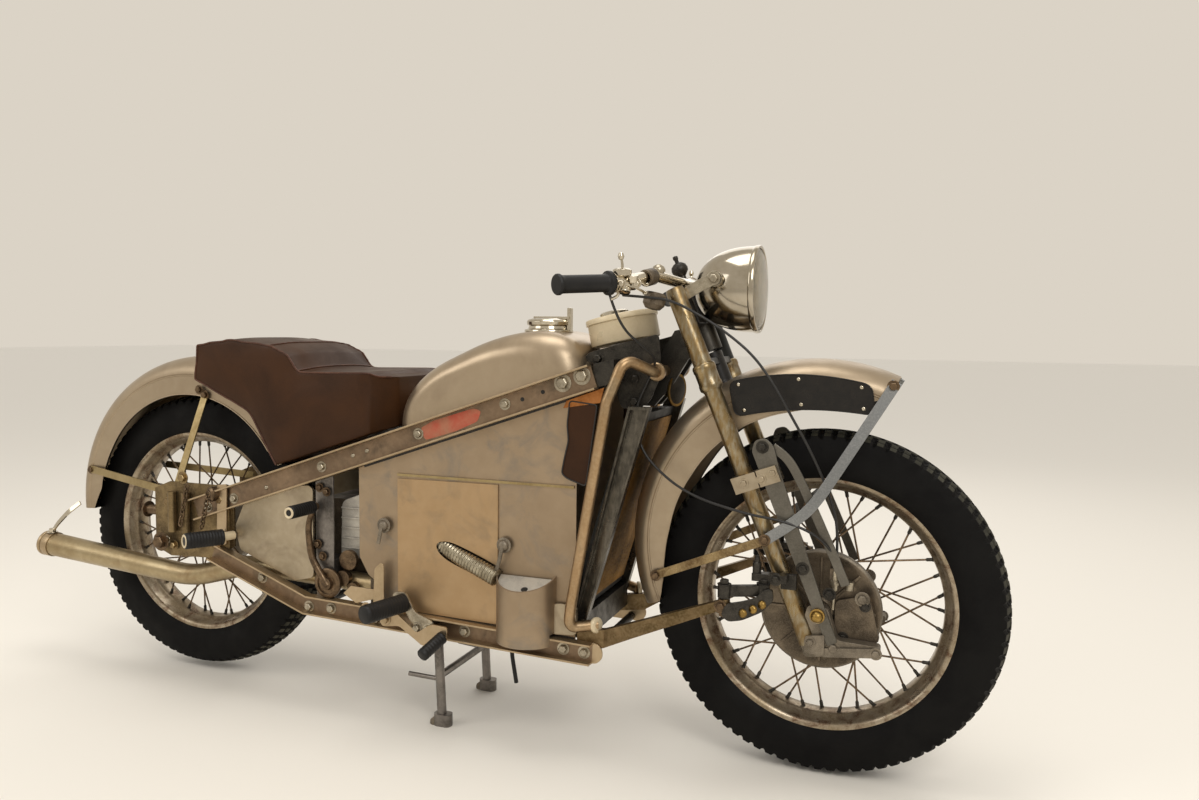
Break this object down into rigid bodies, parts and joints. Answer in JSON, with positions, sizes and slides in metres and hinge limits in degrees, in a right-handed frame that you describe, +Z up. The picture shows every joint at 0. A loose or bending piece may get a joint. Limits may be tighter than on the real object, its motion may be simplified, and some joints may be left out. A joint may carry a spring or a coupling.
{
  "type": "solo motorcycle",
  "caption": "Solo motorcycle with a bolted aluminium channel frame, wire wheels, braced fork, valanced mudguards, low seat and tank; rolls on its wheels, steers and folds its stand.",
  "frame": {"origin": "on the floor, midway between the front of the front tyre and the mouth of the silencer, in the middle plane", "axes": "+X forward, +Y to the rider's left, +Z up"},
  "size_m": [2.2585, 0.7188, 1.017],
  "materials": {
    "tyre_rubber": "matt",
    "black_rubber": "satin",
    "sheet_aluminium": "worn satin, bare metal",
    "cast_aluminium": "fine sand-cast, bare metal",
    "tank_aluminium": "hand-polished, dull",
    "worn_nickel": "nickel plate worn to a bronze tint",
    "dark_steel": "satin black paint",
    "bright_steel": "polished",
    "black_plate": "semi-gloss black paint",
    "leathercloth": "grained, satin",
    "cream_enamel": "aged gloss enamel",
    "lamp_glass": "clear, fluted",
    "brass": "dull",
    "radiator_core": "matt black"
  },
  "bodies": {
    "frame": {"air_hoses": "worn_nickel", "aprons": "leathercloth", "brake_pedal": "black_rubber", "crash_bar": "worn_nickel", "cross_tubes": "dark_steel", "engine_block": "cast_aluminium", "engine_doors": "sheet_aluminium", "exhaust": "worn_nickel", "footrests": "black_rubber", "fuel_cap": "bright_steel", "fuel_tank": "tank_aluminium", "gearbox_block": "cast_aluminium", "gearbox_plates": "sheet_aluminium", "header_tank": "cream_enamel", "kick_lever": "bright_steel", "lower_arms": "sheet_aluminium", "lower_rails": "sheet_aluminium", "radiator": "radiator_core", "radiator_channels": "sheet_aluminium", "rear_axle": "bright_steel", "rear_covers": "sheet_aluminium", "rear_mudguard": "sheet_aluminium", "rear_plates": "cast_aluminium", "rear_stays": "sheet_aluminium", "scuttles": "sheet_aluminium", "seat": "leathercloth", "side_panels": "sheet_aluminium", "steering_head": "cast_aluminium", "upper_rails": "sheet_aluminium"},
    "rear_wheel": {"rear_tyre": "tyre_rubber", "rear_rim": "worn_nickel", "rear_hub": "cast_aluminium", "rear_spokes": "worn_nickel"},
    "front_wheel": {"front_tyre": "tyre_rubber", "front_rim": "worn_nickel", "front_hub": "cast_aluminium", "front_spokes": "worn_nickel"},
    "steering": {"fork_tubes": "worn_nickel", "fork_yokes": "cast_aluminium", "fork_struts": "cast_aluminium", "front_axle": "bright_steel", "brake_plate": "cast_aluminium", "front_mudguard": "sheet_aluminium", "front_stays": "sheet_aluminium", "number_plates": "black_plate", "headlamp": "bright_steel", "headlamp_glass": "lamp_glass", "lamp_brackets": "cast_aluminium", "handlebar": "bright_steel", "grips": "black_rubber", "brake_cable": "black_rubber"},
    "centre_stand": {"centre_stand": "worn_nickel"},
    "right_link": {"steering_link_right": "bright_steel"},
    "left_link": {"steering_link_left": "bright_steel"}
  },
  "joints": [
    {"name": "rear_wheel_spin", "type": "hinge", "parent": "frame", "child": "rear_wheel", "pos_m": [-0.703, 0, 0.348], "axis": [0, 1, 0], "continuous": true},
    {"name": "steering_turn", "type": "hinge", "parent": "frame", "child": "steering", "pos_m": [0.54852, 0, 0.837], "axis": [-0.3811, 0, 0.9245], "range_deg": [-20, 20]},
    {"name": "front_wheel_spin", "type": "hinge", "parent": "steering", "child": "front_wheel", "pos_m": [0.795, 0, 0.334], "axis": [0, 1, 0], "continuous": true},
    {"name": "centre_stand_fold", "type": "hinge", "parent": "frame", "child": "centre_stand", "pos_m": [0, 0, 0.222], "axis": [0, 1, 0], "range_deg": [0, 65]},
    {"name": "right_link_swing", "type": "hinge", "parent": "frame", "child": "right_link", "pos_m": [0.634, -0.176, 0.376], "axis": [0, 0, 1], "range_deg": [-8, 8]},
    {"name": "left_link_swing", "type": "hinge", "parent": "frame", "child": "left_link", "pos_m": [0.634, 0.176, 0.376], "axis": [0, 0, 1], "range_deg": [-8, 8]}
  ],
  "couplings": [
    {"joint": "right_link_swing", "follows": "steering_turn", "ratio": -0.35},
    {"joint": "left_link_swing", "follows": "steering_turn", "ratio": -0.35}
  ]
}
